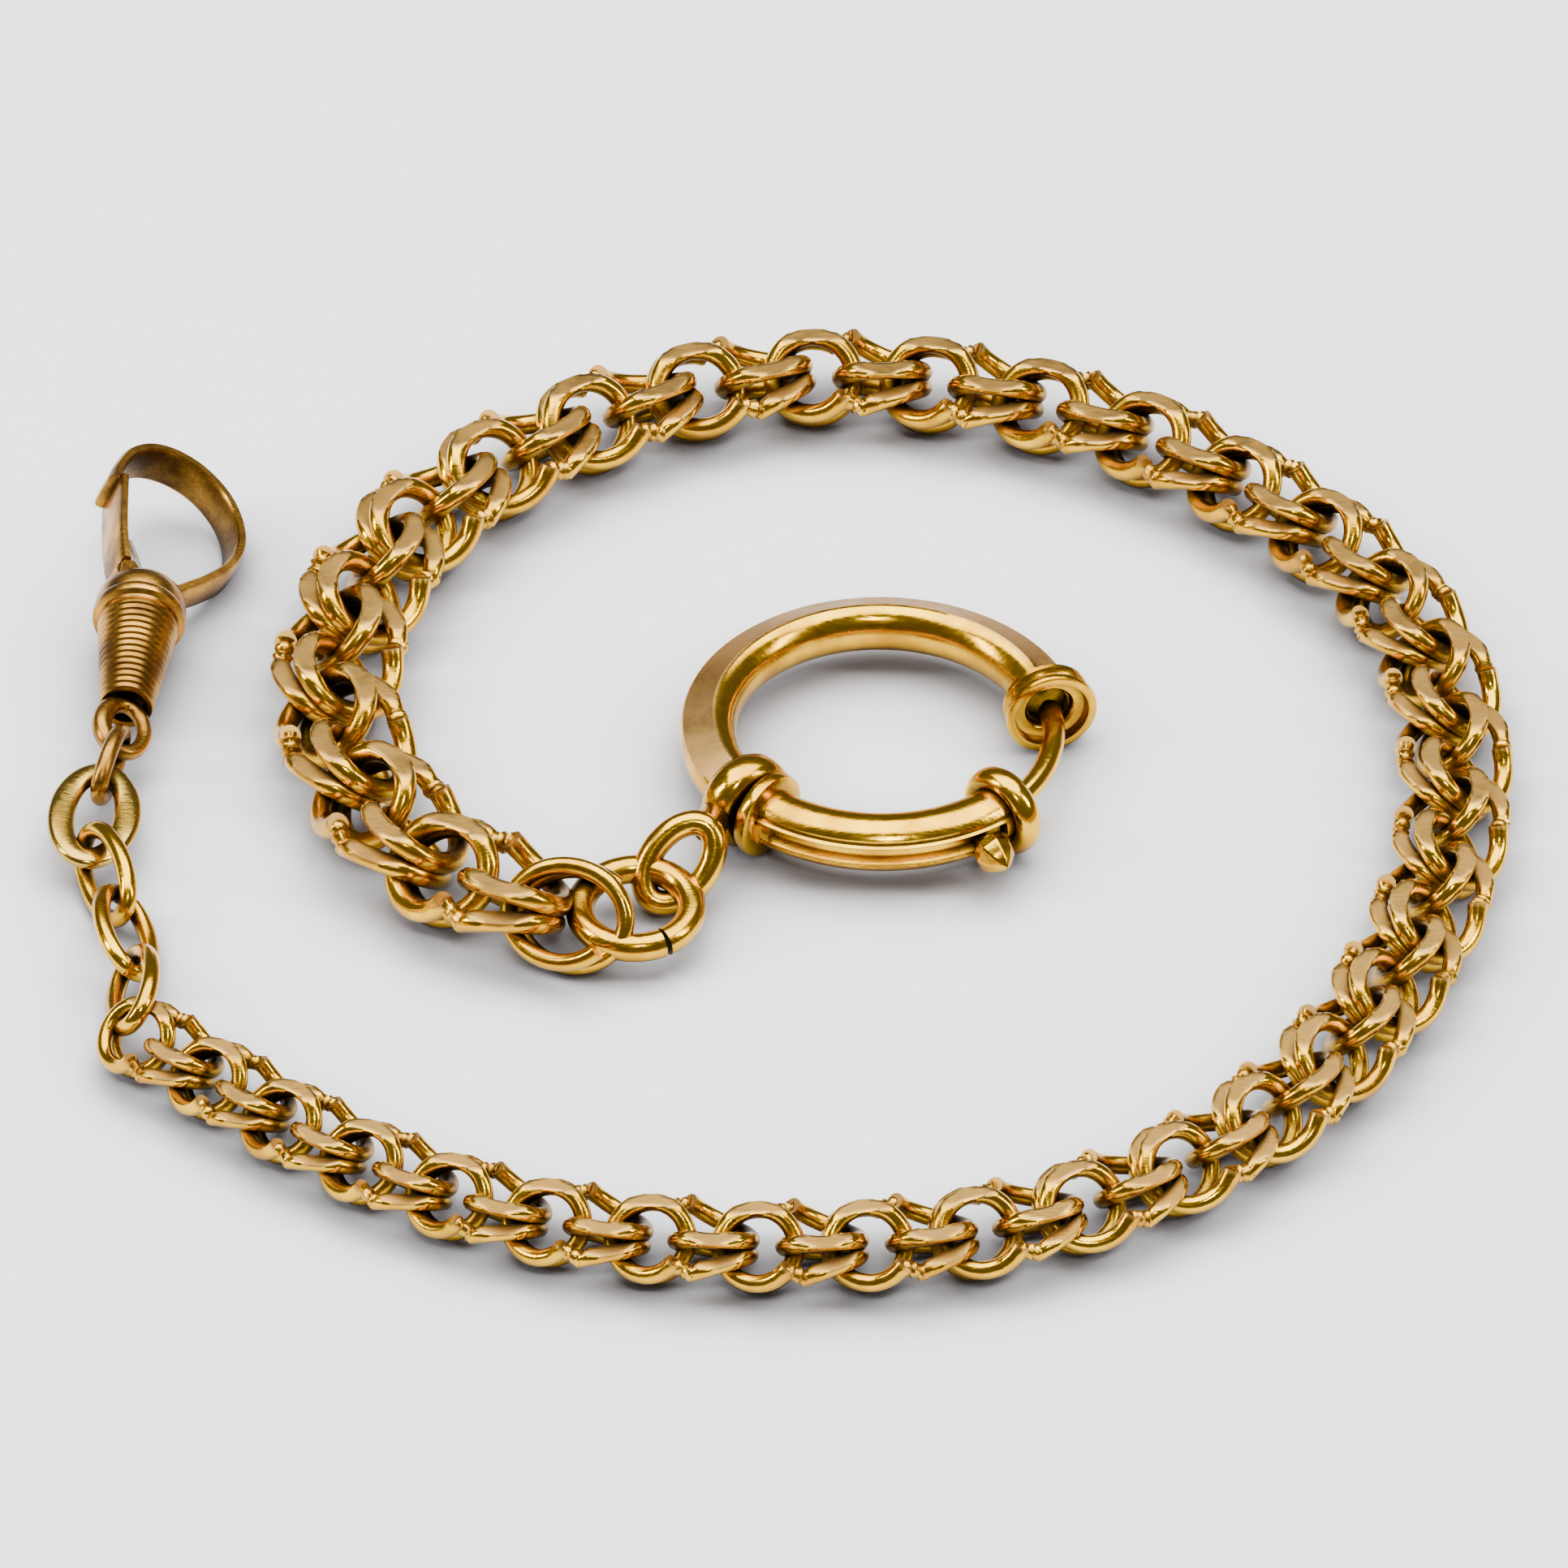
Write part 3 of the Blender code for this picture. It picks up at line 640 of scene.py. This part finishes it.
def strip_loft(line, half_thickness, half_width, matrix):
    """A flat strip with rounded edges, along a line in the matrix's XY plane. Its sizes may be lists."""
    outline = [
        (-1, -0.82), (-0.55, -1), (0.55, -1), (1, -0.82), (1, 0.82), (0.55, 1), (-0.55, 1), (-1, 0.82),
    ]
    count = len(line)
    thick = np.broadcast_to(half_thickness, (count,))
    wide = np.broadcast_to(half_width, (count,))
    rings = []
    for i, point in enumerate(line):
        ahead = (line[min(i + 1, count - 1)] - line[max(i - 1, 0)]).normalized()
        side = Vector((ahead.y, -ahead.x))
        ring = []
        for a, b in outline:
            flat = point + side * (a * thick[i])
            ring.append(tuple(matrix @ Vector((flat.x, flat.y, b * wide[i]))))
        rings.append(ring)
    return loft(np.array(rings))


def hook_frames():
    """Two frames at the barrel's rim: X across the hook, Y along it, Z along the pin; then Z along it."""
    rim = Vector(JOINTS["hook_body"]["pos_m"]) / MM
    axis = Vector(JOINTS["hook_body"]["axis"]).normalized()
    level = Vector(JOINTS["gate"]["axis"]).normalized()
    level = Matrix.Rotation(math.radians(EXTRA_ROLL), 3, axis) @ level
    across = axis.cross(level)
    return matrix_of(across, axis, level, rim), matrix_of(across, -level, axis, rim)


def barrel(axle):
    """A grooved cone with a smooth collar at its wide end. It is hollow."""
    profile = [(0.5, -7.75), (0.95, -7.9), (1.12, -8.7), (1.36, -8.8)]
    grooves, foot, length = 15, -8.7, 6.3
    step = length / grooves
    for i in range(grooves):
        low = foot + length * i / grooves
        radius = 1.38 + (2.14 - 1.38) * i / grooves
        profile.append((radius - 0.1, low))
        profile.append((radius + 0.03, low + 0.2 * step))
        profile.append((radius + 0.06, low + 0.75 * step))
    profile += [
        (2.1, -2.38), (2.16, -2.2), (2.44, -2.05), (2.5, -1.8), (2.46, -1.55), (2.38, -1.45), (2.42, -1.0),
        (2.34, -0.45), (2.1, -0.1), (1.85, 0.0), (1.7, -0.1), (1.66, -3.0), (1.05, -7.1), (0.5, -7.1),
    ]
    piece = build("barrel_turned", [turned(profile, axle, 64)], WORN, None, 40)
    stand_for(piece, "hook_body", "worn_gold", "barrel")


def hook_strap(flat, axle):
    """A strip bent to a teardrop, the plug that it stands on, and two cheeks for the gate."""
    corners = [
        (0.95, -1.4), (1.1, 0.0), (1.9, 0.9), (3.2, 2.3), (4.3, 3.9), (4.75, 5.6), (4.5, 7.4), (3.6, 9.1),
        (2.2, 10.3), (0.6, 10.8), (-0.9, 10.55), (-2.0, 9.6), (-2.6, 8.2), (-2.8, 7.0),
    ]
    line = smooth_line(corners, 8)
    shares = np.linspace(0, 1, len(line))
    wide = 0.8 + 0.3 * np.clip(shares * 3, 0, 1) + 0.12 * np.clip((shares - 0.6) * 4, 0, 1)
    strap = strip_loft(line, 0.3, wide * 1.04, flat)
    # The strap's inner face is marked to be painted darker, through the same mix as the painted shade.
    inner_face = np.zeros((len(line), 8))
    inner_face[:, (0, 7)] = 0.5
    profile = [(0.02, -1.7), (1.68, -1.7), (1.68, -0.25), (1.6, -0.12), (0.02, -0.12)]
    shells = [strap, turned(profile, axle, 48, closed=False)]
    cheek = [(-1.65, -0.5), (-1.7, 0.9), (-1.45, 1.25), (-1.0, 1.25), (-0.75, 0.9), (-0.75, -0.5)]
    for sign in (1, -1):
        rings = [[tuple(flat @ Vector((x, y, sign * z))) for x, y in cheek] for z in (0.7, 1.0)]
        shells.append(loft(rings[::sign]))
    darkening = np.concatenate([inner_face.ravel()] + [np.zeros(len(shell[0])) for shell in shells[1:]])
    piece = build("hook_strap", shells, WORN, None, 40, darkening)
    stand_for(piece, "hook_body", "worn_gold", "hook")


def gate(flat):
    """A lever that widens toward its tip, with the knuckle that turns on the pin."""
    line = smooth_line([(-1.35, 0.6), (-1.5, 1.2), (-1.75, 2.2), (-2.05, 4.0), (-2.35, 7.2)], 6)
    shares = np.linspace(0, 1, len(line))
    plate = strip_loft(line, 0.27, np.where(shares < 0.24, 0.66, 1.15 + 0.3 * shares), flat)
    pin = flat @ Matrix.Translation(Vector((-1.3, 0.8, 0.0)))
    knuckle = turned([(0.3, -0.6), (0.56, -0.6), (0.56, 0.6), (0.3, 0.6)], pin, 24)
    piece = build("gate_lever", [plate, knuckle], WORN, None, 40)
    stand_for(piece, "gate", "worn_gold", "gate")


def shackle(flat, axle):
    """An oval wire loop, thicker on one side, on its stem."""
    loop = flat @ Matrix.Translation(Vector((0.0, -10.4, 0.0)))
    half_length, half_width = 1.75, 1.2
    outline = oval(half_length, half_width, 56)
    points = [loop @ Vector((y, x, 0.0)) for x, y in outline]
    radii = [0.42 + 0.12 * max(0.0, -y / half_width) for _, y in outline]
    hoop = loft(tube_rings(points, radii, 16, True), True)
    stem = turned([(0.02, -8.9), (0.42, -8.75), (0.40, -6.3), (0.02, -6.3)], axle, 24, closed=False)
    piece = build("swivel_shackle", [hoop, stem], WORN, None, 50)
    stand_for(piece, "swivel_eye", "worn_gold", "swivel_eye")


def dress_frame_nodes():
    """The hidden springs, stop, pin and rivet keep their CAD shape."""
    for name, material, slot in (
        ("bolt_spring", STEEL, "spring_metal"),
        ("gate_spring", STEEL, "spring_metal"),
        ("spring_stop", WORN, "worn_gold"),
        ("gate_pin", WORN, "worn_gold"),
        ("swivel_rivet", WORN, "worn_gold"),
    ):
        mesh = frame["nodes"][name].data
        mesh.materials.clear()
        mesh.materials.append(material)


# ---- floor, light, camera ----


def floor():
    """A pale plain table with a painted contact shadow: it darkens a little close to what lies on it."""
    half = 6.0  # metres
    material, tree, shader, place = new_material("floor")
    grain = noise(tree, place, 900.0, 3.0)
    # Painted contact shadow: ambient occlusion turns the floor's colour toward grey where something lies
    # close.
    near = node(tree, "ShaderNodeAmbientOcclusion", {"Distance": 7.0 * MM}, samples=8).outputs["AO"]
    paper = mixed(tree, grain, (0.93, 0.93, 0.94, 1), (0.96, 0.96, 0.97, 1))
    colour = mixed(tree, ranged(tree, near, 0.40, 0.97, 0.85, 0.0), paper, (0.22, 0.22, 0.25, 1))
    tree.links.new(colour, shader.inputs["Base Color"])
    shader.inputs["Roughness"].default_value = 0.7
    mesh = bpy.data.meshes.new("floor")
    corners = [(-half, -half, 0), (half, -half, 0), (half, half, 0), (-half, half, 0)]
    mesh.from_pydata(corners, [], [(0, 1, 2, 3)])
    mesh.materials.append(material)
    plane = bpy.data.objects.new("floor", mesh)
    bpy.context.scene.collection.objects.link(plane)
    plane.location.z = -0.02 * MM


def aimed(name, data, at, aim):
    """An object at this point that looks at the other, both in metres."""
    made = bpy.data.objects.new(name, data)
    bpy.context.scene.collection.objects.link(made)
    made.location = at
    made.rotation_mode = "QUATERNION"
    made.rotation_quaternion = (Vector(aim) - Vector(at)).to_track_quat("-Z", "Y")
    return made


def area_light(name, at, size, watts):
    """A soft rectangle aimed at the chain. Its place and size are in metres."""
    data = bpy.data.lights.new(name, "AREA")
    data.shape = "RECTANGLE"
    data.size, data.size_y = size
    data.energy = watts
    aimed(name, data, at, (0, 0, 0))


def lights():
    """One broad soft light overhead, with narrow ones that draw bright lines on the gold."""
    world = bpy.data.worlds.new("studio")
    bpy.context.scene.world = world
    world.use_nodes = True
    world.node_tree.nodes["Background"].inputs[0].default_value = (0.15, 0.15, 0.16, 1)
    world.node_tree.nodes["Background"].inputs[1].default_value = 1.0
    area_light("overhead", (0.0, 0.15, 0.75), (1.1, 0.8), 20.0)
    area_light("left", (-0.50, -0.05, 0.30), (0.08, 0.30), 2.2)
    area_light("right", (0.50, -0.10, 0.35), (0.08, 0.30), 1.8)
    area_light("front", (0.05, -0.45, 0.60), (0.10, 0.06), 1.2)


def camera():
    """The photograph's view."""
    data = bpy.data.cameras.new("camera")
    data.lens = CAMERA_LENS
    data.sensor_width = 36.0
    data.clip_start, data.clip_end = 0.01, 20.0
    aim = Vector((0.25, -0.18, 2.25)) * MM
    elevation = math.radians(CAMERA_ELEVATION)
    back = Vector((0.0, -math.cos(elevation), math.sin(elevation)))
    bpy.context.scene.camera = aimed("camera", data, aim + back * CAMERA_DISTANCE * MM, aim)


for unit in range(1, UNIT_COUNT + 1):
    chain_unit(unit)
end_link()
upper_tube()
lower_tube()
ring_collars()
bolt_and_knob()
wire_links()
flat_link()
jump_ring()
attachment_eye()
hook_flat, hook_axle = hook_frames()
barrel(hook_axle)
hook_strap(hook_flat, hook_axle)
gate(hook_flat)
shackle(hook_flat, hook_axle)
dress_frame_nodes()
floor()
lights()
camera()
